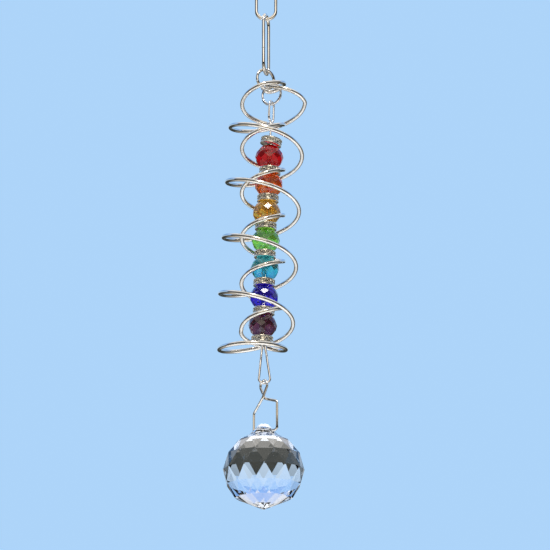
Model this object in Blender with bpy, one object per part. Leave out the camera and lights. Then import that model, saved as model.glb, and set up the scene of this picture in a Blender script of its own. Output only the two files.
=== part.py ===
"""A crystal suncatcher: a chain, an endless steel spiral, a string of glass beads and a cut crystal ball.

Everything hangs from the inside of the top link, which is the origin. X points to the
right, Y away from the viewer and Z up. Each piece takes its height from the one above it.
"""

import math

import bmesh
import bpy
from mathutils import Matrix, Vector

MM = 0.001

# Clearances between pieces that hang on or sit against each other
HANG_GAP = 0.2 * MM
SEAT_GAP = 0.2 * MM
PIN_GAP = 0.4 * MM

# How many straight pieces stand for a curve
END_STEPS = 10
RING_STEPS = 24
LOOP_STEPS = 8
DROP_STEPS = 12

# Chain links: a long oval of round wire
LINK_LENGTH = 25.2 * MM
LINK_WIDTH = 8.9 * MM
LINK_WIRE = 1.4 * MM
LINK_TURN = math.radians(75)

# Steel ring that joins the chain to the spiral
RING_WIDTH = 8.8 * MM
RING_WIRE = 1.2 * MM
RING_TURN = math.radians(33)
RING_SHIFT = -0.16 * MM

# Silver jump ring that carries the bead string
JUMP_WIDTH = 9.2 * MM
JUMP_WIRE = 1.0 * MM
JUMP_TURN = math.radians(-31)
JUMP_SHIFT = 2.18 * MM
JUMP_CONTACT_SHIFT = 1.0 * MM

# Spiral: one endless wire, wide turns going down and narrow turns coming back up
SPIRAL_WIRE = 1.6 * MM
SPIRAL_STEP = 20
KEY_STEP = 30
OUTER_RADIUS = 14.0 * MM
OUTER_PITCH = 21.87 * MM
OUTER_TURNS = 4
OUTER_START_DROP = 7.23 * MM
OUTER_AXIS_X = -1.96 * MM
OUTER_LEAN = 0.054
OUTER_TILT = (-0.35 * MM, -1.1 * MM)
INNER_RADIUS = 7.93 * MM
INNER_PITCH = 17.9 * MM
INNER_TURNS = 5.25
INNER_START_DROP = 97.7 * MM
INNER_AXIS = (-1.2 * MM, -0.19 * MM)
INNER_TILT = -0.62 * MM
INNER_TILT_GROWTH = 0.008
LEAN_CENTRE_DROP = 60.6 * MM

# Flat turn at the foot of the spiral: its centre, radius, rise from the eye and tilt across
FOOT_LEFT = (-3.76 * MM, 0.0, 13.62 * MM, -105.09 * MM, -0.17 * MM)
FOOT_RIGHT = (-3.44 * MM, 0.46 * MM, 10.96 * MM, -103.4 * MM, -1.55 * MM)

# Eye of the spiral, in the same terms, at its right, back, left and front
EYE_LEFT = -1.1 * MM
EYE_REST_RADIUS = 4.65 * MM
EYE_RIGHT = (1.34 * MM, -0.3 * MM, 5.69 * MM, -0.34 * MM, 0.0)
EYE_BACK = (1.13 * MM, 0.95 * MM, 5.7 * MM, -1.06 * MM, 0.0)
EYE_REST = (EYE_LEFT + EYE_REST_RADIUS, 0.0, EYE_REST_RADIUS, 0.0, 0.0)
EYE_FRONT = (2.04 * MM, 2.76 * MM, 5.77 * MM, -2.26 * MM, 0.0)

# Bead string, which leans a little from the jump ring to the ball
STRING_LEAN = math.radians(2.1)
BEAD_COLOURS = {
    "red": (0.62, 0.01, 0.02),
    "orange": (0.85, 0.16, 0.02),
    "amber": (0.60, 0.33, 0.10),
    "green": (0.12, 0.55, 0.12),
    "aqua": (0.05, 0.50, 0.62),
    "blue": (0.05, 0.06, 0.65),
    "plum": (0.16, 0.02, 0.16),
}
BEAD_RADIUS = 5.4 * MM
BEAD_HEIGHT = 8.1 * MM
BEAD_SIDES = 10
BEAD_SHOULDER = 0.945
BEAD_ROWS = (0.35, 0.68)
BEAD_TURN = math.radians(11)
BEAD_BORE = 1.6 * MM
SPACER_RADIUS = 4.1 * MM
SPACER_HEIGHT = 2.5 * MM
SPACER_RIM = 0.55 * MM
SPACER_WAIST = 3.55 * MM
SPACER_CHAMFER = 0.18 * MM
SPACER_BORE = 2.4 * MM
SPACER_SIDES = 14
FIRST_SPACER_TILT = math.radians(10)
SPACER_PLAY = (0.4, 0.3, 0.0, -0.4, -0.3, -0.2, 0.1, -0.1)
BEAD_PLAY = (-0.1, 0.1, -0.25, -0.25, -0.15, 0.0, -0.1)

# Wire of the bead string: a long loop above the beads and an open drop loop below them
STRING_WIRE = 0.9 * MM
STRING_BEND = 1.8 * MM
TOP_LOOP_WIDTH = 4.3 * MM
TOP_LOOP_HEIGHT = 8.6 * MM
TOP_LOOP_TURN = math.radians(60)
TOP_LOOP_SHOULDER = 1.4 * MM
TOP_LOOP_NECK = 0.5 * MM
WRAP_TURNS = 1.5
WRAP_PITCH = 1.15 * MM
STACK_DROP = 15.15 * MM
DROP_LOOP_WIDTH = 5.0 * MM
DROP_LOOP_HEIGHT = 14.6 * MM
DROP_LOOP_SHIFT = 1.3 * MM
DROP_NECK = 1.2 * MM

# Cut ball with a short drilled lug
BALL_RADIUS = 15.0 * MM
BALL_SIDES = 12
BALL_TURN = math.radians(1.9)
BALL_SHIFT = -0.7 * MM
ROW_ANGLE = math.radians(22.5)
# A width for each row of corners above the middle, which draw in towards the lug
UPPER_WIDTHS = {2: 0.92, 1: 0.975}
NECK_RADIUS = 5.2 * MM
NECK_HEIGHT = 13.0 * MM
LUG_RADIUS = 1.6 * MM
LUG_HEIGHT = 16.9 * MM
HOLE_HEIGHT = 14.2 * MM
HOLE_WIDTH = 1.8 * MM
HOLE_SIDES = 10

# Bow-tie pin that clips into the hole of the ball
PIN_WIRE = 1.0 * MM
PIN_TURN = math.radians(-40)
PIN_HEIGHT = 19.35 * MM
PIN_LEFT = 4.8 * MM
PIN_LEFT_KNEE = 7.5 * MM
PIN_RIGHT = 6.4 * MM
PIN_RIGHT_CORNER = 10.7 * MM
PIN_CROSSING = 12.6 * MM
PIN_LOOP_WIDTH = 5.3 * MM
PIN_TIP = 1.3 * MM
PIN_BEND = 1.2 * MM

STEEL = ((0.60, 0.59, 0.57), 0.12, 1.0)
SILVER = ((0.86, 0.86, 0.88), 0.15, 1.0)
CRYSTAL = ((0.95, 0.97, 1.0), 0.0, 0.0)


def clear_scene():
    for found in list(bpy.data.objects):
        bpy.data.objects.remove(found, do_unlink=True)


def material(name, look, clear=False):
    colour, roughness, metallic = look
    made = bpy.data.materials.new(name)
    made.use_nodes = True
    shader = made.node_tree.nodes["Principled BSDF"]
    shader.inputs["Base Color"].default_value = (*colour, 1.0)
    shader.inputs["Roughness"].default_value = roughness
    shader.inputs["Metallic"].default_value = metallic
    if clear:
        shader.inputs["Transmission Weight"].default_value = 1.0
    return made


def link_object(name, data, look, parent=None):
    made = bpy.data.objects.new(name, data)
    bpy.context.scene.collection.objects.link(made)
    data.materials.append(look)
    made.parent = parent
    return made


def frame_empty(name, place, turn_axis, angle):
    made = bpy.data.objects.new(name, None)
    bpy.context.scene.collection.objects.link(made)
    made.matrix_world = Matrix.Translation(place) @ Matrix.Rotation(angle, 4, turn_axis)
    return made


def wire(name, points, width, closed, look, parent=None, detail=2):
    """A round wire along the points, as a curve with a bevel and filled ends."""
    data = bpy.data.curves.new(name, "CURVE")
    data.dimensions = "3D"
    data.fill_mode = "FULL"
    data.use_fill_caps = True
    data.bevel_depth = width / 2
    data.bevel_resolution = detail
    line = data.splines.new("POLY")
    line.points.add(len(points) - 1)
    for place, point in zip(line.points, points):
        place.co = (*point, 1.0)
    line.use_cyclic_u = closed
    line.use_smooth = True
    return link_object(name, data, look, parent)


def arc(centre, radius, start, end, steps):
    """Points on an arc in the XZ plane, angles counted from +X towards +Z."""
    points = []
    for index in range(steps + 1):
        angle = start + (end - start) * index / steps
        offset = Vector((math.cos(angle), 0, math.sin(angle))) * radius
        points.append(Vector(centre) + offset)
    return points


def bent(corners, bend, steps=3):
    """A line through the corners with every corner rounded to the bend radius."""
    points = [Vector(corners[0])]
    for before, corner, after in zip(corners, corners[1:], corners[2:]):
        corner = Vector(corner)
        back = Vector(before) - corner
        ahead = Vector(after) - corner
        half = back.angle(ahead) / 2
        reach = min(bend / math.tan(half), 0.45 * back.length, 0.45 * ahead.length)
        back.normalize()
        ahead.normalize()
        middle = corner + (back + ahead).normalized() * reach / math.cos(half)
        first = corner + back * reach - middle
        last = corner + ahead * reach - middle
        for index in range(steps + 1):
            share = index / steps
            points.append(middle + first.slerp(last, share) * first.length)
    points.append(Vector(corners[-1]))
    return points


def turned(points, angle):
    turn = Matrix.Rotation(angle, 3, "Z")
    return [turn @ point for point in points]


# Heights down the chain, from the inside of the top link
link_centre_z = LINK_WIRE - LINK_LENGTH / 2
link_step = LINK_LENGTH - 2 * LINK_WIRE - HANG_GAP
lower_link_z = link_centre_z - link_step
lower_link_inside_z = lower_link_z - LINK_LENGTH / 2 + LINK_WIRE
ring_radius = (RING_WIDTH - RING_WIRE) / 2
ring_z = lower_link_inside_z + HANG_GAP + RING_WIRE / 2 - ring_radius
jump_radius = (JUMP_WIDTH - JUMP_WIRE) / 2


def jump_ring_height():
    """The jump ring rests in the lower right of the steel ring, beside its own middle."""
    below = (JUMP_CONTACT_SHIFT - RING_SHIFT) / math.cos(RING_TURN)
    above = (JUMP_SHIFT - JUMP_CONTACT_SHIFT) / math.cos(JUMP_TURN)
    contact = ring_z - math.sqrt(ring_radius**2 - below**2)
    resting = contact + (RING_WIRE + JUMP_WIRE) / 2 + HANG_GAP
    return resting - math.sqrt(jump_radius**2 - above**2)


def eye_height():
    """The eye of the spiral rests in the lower left of the steel ring."""
    room = ring_radius - RING_WIRE / 2 - HANG_GAP
    reach = room - SPIRAL_WIRE / 2 / math.cos(RING_TURN)
    beside = (EYE_LEFT - RING_SHIFT) / math.cos(RING_TURN)
    return ring_z - math.sqrt(reach**2 - beside**2)


jump_z = jump_ring_height()
eye_z = eye_height()
string_top_z = jump_z - jump_radius + JUMP_WIRE / 2
lean_centre_z = eye_z - LEAN_CENTRE_DROP


def build_chain():
    steel = material("steel_link", STEEL)
    end_radius = (LINK_WIDTH - LINK_WIRE) / 2
    straight = LINK_LENGTH / 2 - LINK_WIRE / 2 - end_radius
    top = arc((0, 0, straight), end_radius, 0, math.pi, END_STEPS)
    bottom = arc((0, 0, -straight), end_radius, math.pi, 2 * math.pi, END_STEPS)
    for name, height, angle in (
        ("chain_link_top", link_centre_z, 0),
        ("chain_link_lower", lower_link_z, LINK_TURN),
    ):
        link = wire(name, top + bottom, LINK_WIRE, True, steel)
        link.location.z = height
        link.rotation_euler.z = angle


def build_rings():
    for name, radius, width, place, angle, look in (
        ("steel_ring", ring_radius, RING_WIRE, (RING_SHIFT, 0, ring_z), RING_TURN, STEEL),
        ("jump_ring", jump_radius, JUMP_WIRE, (JUMP_SHIFT, 0, jump_z), JUMP_TURN, SILVER),
    ):
        circle = arc((0, 0, 0), radius, 0, 2 * math.pi, RING_STEPS)[:-1]
        ring = wire(name, circle, width, True, material(name, look))
        ring.location = place
        ring.rotation_euler.z = angle


class Turn:
    """Where the spiral's wire is: a centre, a radius, a height and how the turn is tilted."""

    def __init__(self, centre_x, centre_y, radius, height, tilt_x, tilt_y):
        self.values = Vector((centre_x, centre_y, radius, height, tilt_x, tilt_y))

    def point(self, angle):
        centre_x, centre_y, radius, height, tilt_x, tilt_y = self.values
        across = math.cos(math.radians(angle))
        along = math.sin(math.radians(angle))
        z = height + tilt_x * across + tilt_y * along
        return Vector((centre_x + radius * across, centre_y + radius * along, z))


def outer_turn(angle):
    """Wide turns, counted in degrees from the first bulge on the right."""
    height = eye_z - OUTER_START_DROP - OUTER_PITCH * angle / 360
    centre_x = OUTER_AXIS_X + OUTER_LEAN * (height - lean_centre_z)
    return Turn(centre_x, 0, OUTER_RADIUS, height, *OUTER_TILT)


def inner_turn(angle):
    """Narrow turns, counted in degrees from the lowest arc on the left."""
    height = eye_z - INNER_START_DROP + INNER_PITCH * angle / 360
    tilt_x = INNER_TILT_GROWTH * (height - lean_centre_z)
    return Turn(*INNER_AXIS, INNER_RADIUS, height, tilt_x, INNER_TILT)


def eased(keys, angle):
    """The turn at an angle, on a smooth curve through keys of (angle, Turn)."""
    spot = max(i for i in range(1, len(keys) - 2) if keys[i][0] <= angle or i == 1)
    (a0, k0), (a1, k1), (a2, k2), (a3, k3) = keys[spot - 1 : spot + 3]
    span = a2 - a1
    share = (angle - a1) / span
    slope1 = (k2.values - k0.values) / (a2 - a0) * span
    slope2 = (k3.values - k1.values) / (a3 - a1) * span
    square = share * share
    cube = square * share
    mixed = (
        k1.values * (2 * cube - 3 * square + 1)
        + slope1 * (cube - 2 * square + share)
        + k2.values * (3 * square - 2 * cube)
        + slope2 * (cube - square)
    )
    return Turn(*mixed)


def key_turn(centre_x, centre_y, radius, rise, tilt_x):
    return Turn(centre_x, centre_y, radius, eye_z + rise, tilt_x, 0)


def spiral_points():
    """Down the wide turns, round the flat foot, up the narrow turns and round the eye."""
    outer_end = 360 * OUTER_TURNS
    inner_start = outer_end + 540
    inner_end = inner_start + int(360 * INNER_TURNS)
    inner_span = inner_end - inner_start
    close = inner_end + 450
    foot_keys = [
        (outer_end - KEY_STEP, outer_turn(outer_end - KEY_STEP)),
        (outer_end, outer_turn(outer_end)),
        (outer_end + 180, key_turn(*FOOT_LEFT)),
        (outer_end + 360, key_turn(*FOOT_RIGHT)),
        (inner_start, inner_turn(0)),
        (inner_start + KEY_STEP, inner_turn(KEY_STEP)),
    ]
    eye_keys = [
        (inner_end - KEY_STEP, inner_turn(inner_span - KEY_STEP)),
        (inner_end, inner_turn(inner_span)),
        (inner_end + 90, key_turn(*EYE_RIGHT)),
        (inner_end + 180, key_turn(*EYE_BACK)),
        (inner_end + 270, key_turn(*EYE_REST)),
        (inner_end + 360, key_turn(*EYE_FRONT)),
        (close, outer_turn(0)),
        (close + KEY_STEP, outer_turn(KEY_STEP)),
    ]
    points = []
    for angle in range(0, close, SPIRAL_STEP):
        if angle < outer_end:
            turn = outer_turn(angle)
        elif angle < inner_start:
            turn = eased(foot_keys, angle)
        elif angle < inner_end:
            turn = inner_turn(angle - inner_start)
        else:
            turn = eased(eye_keys, angle)
        points.append(turn.point(angle))
    return points


def build_spiral():
    wire("spiral", spiral_points(), SPIRAL_WIRE, True, material("steel_spiral", STEEL))


def rings_mesh(name, rings):
    """A closed body from rings of points, each joined to the next and the last to the first."""
    mesh = bmesh.new()
    loops = [[mesh.verts.new(point) for point in ring] for ring in rings]
    for upper, lower in zip(loops, loops[1:] + loops[:1]):
        count = len(upper)
        for index in range(count):
            after = (index + 1) % count
            mesh.faces.new((upper[index], lower[index], lower[after], upper[after]))
    bmesh.ops.recalc_face_normals(mesh, faces=mesh.faces)
    data = bpy.data.meshes.new(name)
    mesh.to_mesh(data)
    mesh.free()
    return data


def circle_points(radius, height, sides, half_steps=0):
    points = []
    for index in range(sides):
        angle = 2 * math.pi * (index + half_steps / 2) / sides
        points.append((radius * math.cos(angle), radius * math.sin(angle), height))
    return points


def facet_band(mesh, upper, lower, lower_is_ahead):
    """Triangles between two rings of corners that are half a step apart."""
    count = len(upper)
    for index in range(count):
        after = (index + 1) % count
        if lower_is_ahead:
            mesh.faces.new((upper[index], lower[index], upper[after]))
            mesh.faces.new((upper[after], lower[index], lower[after]))
        else:
            mesh.faces.new((upper[index], lower[index], lower[after]))
            mesh.faces.new((upper[index], lower[after], upper[after]))


def bead_profile():
    """Corner rings from the girdle up, so spaced that each kite-shaped facet is flat."""
    half = BEAD_HEIGHT / 2
    heights = [0, half * BEAD_ROWS[0], half * BEAD_ROWS[1], half]
    radii = [BEAD_RADIUS, BEAD_RADIUS * BEAD_SHOULDER]
    inset = math.cos(math.pi / BEAD_SIDES)
    for index in (2, 3):
        first, second = radii[index - 2], radii[index - 1] * inset
        rise = (heights[index] - heights[index - 2]) / (heights[index - 1] - heights[index - 2])
        radii.append(first + (second - first) * rise)
    return list(zip(radii, heights))


def bead_mesh():
    """A faceted bead: three rows of kites on each side of the girdle and a drilled axis."""
    profile = bead_profile()
    levels = [(r, z, i % 2) for i, (r, z) in reversed(list(enumerate(profile)))]
    levels += [(r, -z, i % 2) for i, (r, z) in list(enumerate(profile))[1:]]
    mesh = bmesh.new()
    rings = [
        [mesh.verts.new(point) for point in circle_points(r, z, BEAD_SIDES, offset)]
        for r, z, offset in levels
    ]
    for index, (upper, lower) in enumerate(zip(rings, rings[1:])):
        facet_band(mesh, upper, lower, levels[index + 1][2] > levels[index][2])
    top_z = profile[-1][1]
    bore = [
        [mesh.verts.new(p) for p in circle_points(BEAD_BORE / 2, z, BEAD_SIDES, levels[0][2])]
        for z in (top_z, -top_z)
    ]
    for upper, lower in ((rings[-1], bore[1]), (bore[1], bore[0]), (bore[0], rings[0])):
        for index in range(BEAD_SIDES):
            after = (index + 1) % BEAD_SIDES
            mesh.faces.new((upper[index], lower[index], lower[after], upper[after]))
    bmesh.ops.recalc_face_normals(mesh, faces=mesh.faces)
    data = bpy.data.meshes.new("bead")
    mesh.to_mesh(data)
    mesh.free()
    return data


def spacer_mesh():
    """Two thin rims with a narrower waist between them, where the stones sit."""
    half = SPACER_HEIGHT / 2
    inner = half - SPACER_RIM
    profile = [
        (SPACER_BORE / 2, half),
        (SPACER_RADIUS - SPACER_CHAMFER, half),
        (SPACER_RADIUS, half - SPACER_CHAMFER),
        (SPACER_RADIUS, inner),
        (SPACER_WAIST, inner),
    ]
    profile += [(radius, -height) for radius, height in reversed(profile)]
    return rings_mesh("spacer", [circle_points(r, z, SPACER_SIDES) for r, z in profile])


def stack_height(index, is_bead):
    pitch = BEAD_HEIGHT + SPACER_HEIGHT + 2 * SEAT_GAP
    first = -STACK_DROP - SPACER_HEIGHT / 2
    if is_bead:
        first -= (SPACER_HEIGHT + BEAD_HEIGHT) / 2 + SEAT_GAP
    return first - pitch * index


def build_stack(string):
    """Seven glass beads between eight jewelled spacers."""
    for index, (name, colour) in enumerate(BEAD_COLOURS.items()):
        glass = material(f"glass_{name}", (colour, 0.02, 0.0), clear=True)
        bead = link_object(f"bead_{name}", bead_mesh(), glass, string)
        bead.location = (BEAD_PLAY[index] * MM, 0, stack_height(index, True))
        bead.rotation_euler.z = BEAD_TURN * index
    silver = material("silver_spacer", SILVER)
    for index, play in enumerate(SPACER_PLAY):
        spacer = link_object(f"spacer_{index + 1}", spacer_mesh(), silver, string)
        spacer.location = (play * MM, 0, stack_height(index, False))
        if index == 0:
            spacer.rotation_euler.y = FIRST_SPACER_TILT
            spacer.location.z += SPACER_RADIUS * math.sin(FIRST_SPACER_TILT)


def top_loop_points():
    """From the end that wraps round the stem, over the loop and down to the stem."""
    radius = (TOP_LOOP_WIDTH - STRING_WIRE) / 2
    top_z = HANG_GAP + STRING_WIRE / 2
    base_z = top_z - TOP_LOOP_HEIGHT
    wrap_radius = STRING_WIRE + HANG_GAP
    wrap = []
    for index in range(int(LOOP_STEPS * WRAP_TURNS), 0, -1):
        angle = 2 * math.pi * index / LOOP_STEPS
        z = base_z - WRAP_PITCH * index / LOOP_STEPS
        wrap.append(Vector((math.cos(angle) * wrap_radius, math.sin(angle) * wrap_radius, z)))
    over = arc((0, 0, top_z - radius), radius, 0, math.pi, LOOP_STEPS)
    shoulder_z = base_z + TOP_LOOP_SHOULDER
    sides = [Vector((wrap_radius, 0, base_z)), Vector((radius, 0, shoulder_z))]
    neck_z = base_z + TOP_LOOP_NECK
    down = bent(
        [over[-1], (-radius, 0, shoulder_z), (0, 0, neck_z), (0, 0, -STACK_DROP)], STRING_BEND
    )
    return turned(wrap + sides + over[:-1] + down, TOP_LOOP_TURN)


def drop_loop_points():
    """Down the left side of the drop loop, round its foot and back up beside the stem."""
    radius = (DROP_LOOP_WIDTH - STRING_WIRE) / 2
    apex_z = stack_height(len(BEAD_COLOURS), False) - SPACER_HEIGHT / 2 - DROP_NECK
    foot = Vector((DROP_LOOP_SHIFT, 0, apex_z - DROP_LOOP_HEIGHT + radius + STRING_WIRE / 2))
    reach = math.hypot(foot.x, apex_z - foot.z)
    swing = math.asin(radius / reach)
    around = arc(foot, radius, math.pi - swing, 2 * math.pi + swing, DROP_STEPS)
    tail_x = STRING_WIRE + HANG_GAP
    down = bent([(0, 0, apex_z + DROP_NECK), (0, 0, apex_z), around[0]], STRING_BEND)
    return down[:-1] + around + [Vector((tail_x, 0, apex_z))]


def build_string_wire(string):
    points = top_loop_points() + drop_loop_points()
    silver = material("silver_wire", SILVER)
    wire("string_wire", points, STRING_WIRE, False, silver, string)


def drop_loop_foot(string):
    """World place of the wire at the foot of the drop loop."""
    lowest = min(drop_loop_points(), key=lambda point: point.z)
    return string.matrix_world @ lowest


def ball_mesh():
    """Rows of triangles on a sphere, with a shoulder and a drilled lug in place of the top."""
    rows = []
    for row in (2, 1, 0, -1, -2):
        height = BALL_RADIUS * math.sin(row * ROW_ANGLE)
        radius = BALL_RADIUS * math.cos(row * ROW_ANGLE) * UPPER_WIDTHS.get(row, 1)
        rows.append((radius, height, row % 2))
    levels = [(LUG_RADIUS, LUG_HEIGHT, 0), (NECK_RADIUS, NECK_HEIGHT, 1)] + rows
    mesh = bmesh.new()
    rings = [
        [mesh.verts.new(point) for point in circle_points(r, z, BALL_SIDES, offset)]
        for r, z, offset in levels
    ]
    for index, (upper, lower) in enumerate(zip(rings, rings[1:])):
        facet_band(mesh, upper, lower, levels[index + 1][2] > levels[index][2])
    mesh.faces.new(rings[0])
    bottom = mesh.verts.new((0, 0, -BALL_RADIUS))
    for index in range(BALL_SIDES):
        mesh.faces.new((rings[-1][index], bottom, rings[-1][(index + 1) % BALL_SIDES]))
    bmesh.ops.recalc_face_normals(mesh, faces=mesh.faces)
    data = bpy.data.meshes.new("crystal_ball")
    mesh.to_mesh(data)
    mesh.free()
    return data


def build_ball(ball_frame):
    ball = link_object(
        "crystal_ball", ball_mesh(), material("crystal", CRYSTAL, clear=True), ball_frame
    )
    ball.rotation_euler.z = math.radians(-90) + BALL_TURN
    drill = bpy.data.meshes.new("lug_drill")
    mesh = bmesh.new()
    bmesh.ops.create_cone(
        mesh,
        cap_ends=True,
        segments=HOLE_SIDES,
        radius1=HOLE_WIDTH / 2,
        radius2=HOLE_WIDTH / 2,
        depth=2 * BALL_RADIUS,
        matrix=Matrix.Rotation(math.radians(90), 4, "Y"),
    )
    mesh.to_mesh(drill)
    mesh.free()
    cutter = bpy.data.objects.new("lug_drill", drill)
    bpy.context.scene.collection.objects.link(cutter)
    cutter.parent = ball_frame
    cutter.location.z = HOLE_HEIGHT
    cutter.rotation_euler.z = PIN_TURN
    cutter.hide_render = True
    cutter.display_type = "WIRE"
    cut = ball.modifiers.new("hole", "BOOLEAN")
    cut.operation = "DIFFERENCE"
    cut.solver = "EXACT"
    cut.object = cutter


def build_pin(ball_frame):
    """One wire: in at the left of the lug, up, round the loop and down to the right."""
    half = (PIN_LOOP_WIDTH - PIN_WIRE) / 2
    aside = (PIN_WIRE + PIN_GAP) / 2
    loop_z = PIN_HEIGHT - half
    over = arc((0, 0, loop_z), half, 0, math.pi, LOOP_STEPS)
    for index, point in enumerate(over):
        point.y = -aside + 2 * aside * index / (len(over) - 1)
    rise = bent(
        [
            (-PIN_TIP, 0, 0),
            (-PIN_LEFT, 0, 0),
            (-PIN_LEFT, 0, PIN_LEFT_KNEE),
            (0, -aside, PIN_CROSSING),
            (half, -aside, PIN_CROSSING + 2 * half),
            over[0],
        ],
        PIN_BEND,
    )
    fall = bent(
        [
            over[-1],
            (-half, aside, PIN_CROSSING + 2 * half),
            (0, aside, PIN_CROSSING),
            (PIN_RIGHT, 0, PIN_RIGHT_CORNER),
            (PIN_RIGHT, 0, 0),
            (PIN_TIP, 0, 0),
        ],
        PIN_BEND,
    )
    pin = wire(
        "bow_tie_pin",
        rise[:-1] + over + fall[1:],
        PIN_WIRE,
        False,
        material("steel_pin", STEEL),
        ball_frame,
        detail=1,
    )
    pin.location.z = HOLE_HEIGHT
    pin.rotation_euler.z = PIN_TURN


def main():
    clear_scene()
    build_chain()
    build_rings()
    build_spiral()
    string = frame_empty("string_frame", (JUMP_SHIFT, 0, string_top_z), "Y", STRING_LEAN)
    build_stack(string)
    build_string_wire(string)
    foot = drop_loop_foot(string)
    pin_top_z = foot.z + (STRING_WIRE + PIN_WIRE) / 2 + HANG_GAP
    ball_z = pin_top_z - PIN_HEIGHT - HOLE_HEIGHT
    ball_frame = frame_empty("ball_frame", (BALL_SHIFT, foot.y, ball_z), "Z", 0)
    build_pin(ball_frame)
    build_ball(ball_frame)


main()
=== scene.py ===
# %% [markdown]
# # A crystal suncatcher, dressed step by step
#
# A suncatcher is a chain of small glittering things: two links, a ring, an endless steel
# spiral, seven cut glass beads with jewelled spacers between them, and a cut ball that
# throws the light about. The solids are already there as a fixed frame. This lesson puts
# the finished look round them, piece by piece, in the same place and at the same size.

import math

import bmesh
import bpy
from mathutils import Matrix, Vector


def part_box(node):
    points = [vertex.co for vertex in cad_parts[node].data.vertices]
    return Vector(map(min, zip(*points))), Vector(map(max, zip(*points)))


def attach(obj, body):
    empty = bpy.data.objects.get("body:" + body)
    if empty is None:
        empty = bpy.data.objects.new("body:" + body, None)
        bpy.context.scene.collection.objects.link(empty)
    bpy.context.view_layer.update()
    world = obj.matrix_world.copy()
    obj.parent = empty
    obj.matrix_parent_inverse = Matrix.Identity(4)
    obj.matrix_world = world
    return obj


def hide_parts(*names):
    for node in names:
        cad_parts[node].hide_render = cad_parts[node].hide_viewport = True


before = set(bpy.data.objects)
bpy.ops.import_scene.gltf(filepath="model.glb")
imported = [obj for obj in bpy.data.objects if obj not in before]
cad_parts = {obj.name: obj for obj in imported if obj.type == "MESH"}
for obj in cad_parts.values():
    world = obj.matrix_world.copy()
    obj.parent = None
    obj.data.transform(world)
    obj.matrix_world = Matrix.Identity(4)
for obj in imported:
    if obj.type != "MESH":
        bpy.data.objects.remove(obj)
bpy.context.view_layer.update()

# %% [markdown]
# ## Viewpoint
#
# The suncatcher hangs above the viewer's head, so the camera stands lower than the ball and
# looks up. A long lens keeps the hanging line straight and the turns of the spiral close to
# ovals. The focal length is written for a square picture and the usual 36 mm sensor.

# %% Camera
VIEW_PLACE = (0.003446, -0.90445, -0.37549)
VIEW_RISE = math.radians(15.4487)
SENSOR = 36.0
IMAGE_WIDTH = 550
FOCAL_PIXELS = 2500

bpy.ops.object.camera_add(location=VIEW_PLACE, rotation=(math.pi / 2 + VIEW_RISE, 0, 0))
camera = bpy.context.object
camera.name = "viewpoint"
camera.data.sensor_width = SENSOR
camera.data.lens = SENSOR * (FOCAL_PIXELS / IMAGE_WIDTH)
bpy.context.scene.camera = camera
print("lens:", round(camera.data.lens, 1), "mm")

# %% [markdown]
# ## Room and light
#
# Polished steel and clear glass have no look of their own: they show the room. So the room is
# a plain soft gradient by height with some contrast in it: pale below, dark at eye level,
# pale blue above and white overhead. Behind the viewer hangs one soft box, which draws the
# bright line along a polished wire, with a dim one under it and plain walls beside them. What
# the camera sees directly stays one plain pale tone, and the floor is small and far below.

# %% Colour helpers
def ramp_between(tree, stops):
    """A colour ramp through the stops, each a position from 0 to 1 and a colour."""
    ramp = tree.nodes.new("ShaderNodeValToRGB")
    marks = ramp.color_ramp.elements
    marks[0].position, marks[0].color = stops[0][0], (*stops[0][1], 1)
    marks[1].position, marks[1].color = stops[-1][0], (*stops[-1][1], 1)
    for position, colour in stops[1:-1]:
        marks.new(position).color = (*colour, 1)
    return ramp


def mapped(tree, value, low, high):
    """The value rescaled so that low gives 0 and high gives 1, and held there outside."""
    span = tree.nodes.new("ShaderNodeMapRange")
    span.inputs["From Min"].default_value = low
    span.inputs["From Max"].default_value = high
    tree.links.new(value, span.inputs["Value"])
    return span.outputs["Result"]


def mixed(tree, share, first, second):
    """The first colour where the share is 0, the second where it is 1."""
    mix = tree.nodes.new("ShaderNodeMix")
    mix.data_type = "RGBA"
    tree.links.new(share, mix.inputs["Factor"])
    tree.links.new(first, mix.inputs["A"])
    tree.links.new(second, mix.inputs["B"])
    return mix.outputs["Result"]


def both(tree, first, second):
    """The product of two shares, which is high only where both are."""
    product = tree.nodes.new("ShaderNodeMath")
    product.operation = "MULTIPLY"
    tree.links.new(first, product.inputs[0])
    tree.links.new(second, product.inputs[1])
    return product.outputs[0]


def within(tree, value, low, high, soft):
    """1 where the value lies between low and high, with soft ends."""
    rising = mapped(tree, value, low - soft, low + soft)
    falling = mapped(tree, value, high + soft, high - soft)
    return both(tree, rising, falling)


# %% Room tones
# Each tone stands at a height in the room, from 0 straight down to 1 straight up.
AHEAD_TONES = [
    (0.00, (0.72, 0.70, 0.68)),
    (0.24, (0.50, 0.48, 0.45)),
    (0.38, (0.06, 0.065, 0.06)),
    (0.55, (0.05, 0.055, 0.05)),
    (0.59, (0.62, 0.80, 1.00)),
    (0.74, (0.32, 0.58, 1.00)),
    (0.82, (0.20, 0.42, 0.92)),
    (0.92, (1.00, 1.00, 1.00)),
]
# The bright soft box reaches from 0.60 to 0.74, and the dim one stands round 0.36.
SOFT_BOX_TONES = [
    (0.18, (0.70, 0.66, 0.60)),
    (0.26, (0.02, 0.015, 0.010)),
    (0.36, (0.50, 0.42, 0.33)),
    (0.44, (0.008, 0.006, 0.005)),
    (0.57, (0.010, 0.008, 0.006)),
    (0.60, (2.1, 1.85, 1.5)),
    (0.74, (1.6, 1.5, 1.35)),
    (0.78, (0.02, 0.018, 0.016)),
    (0.92, (1.0, 1.0, 1.0)),
]
WALL_TONES = [
    (0.18, (0.70, 0.66, 0.60)),
    (0.38, (0.32, 0.30, 0.27)),
    (0.45, (0.04, 0.04, 0.035)),
    (0.62, (0.05, 0.05, 0.06)),
    (0.80, (0.28, 0.31, 0.36)),
    (0.92, (1.0, 1.0, 1.0)),
]
BACKDROP_TONE = (0.42, 0.66, 0.95)
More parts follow.
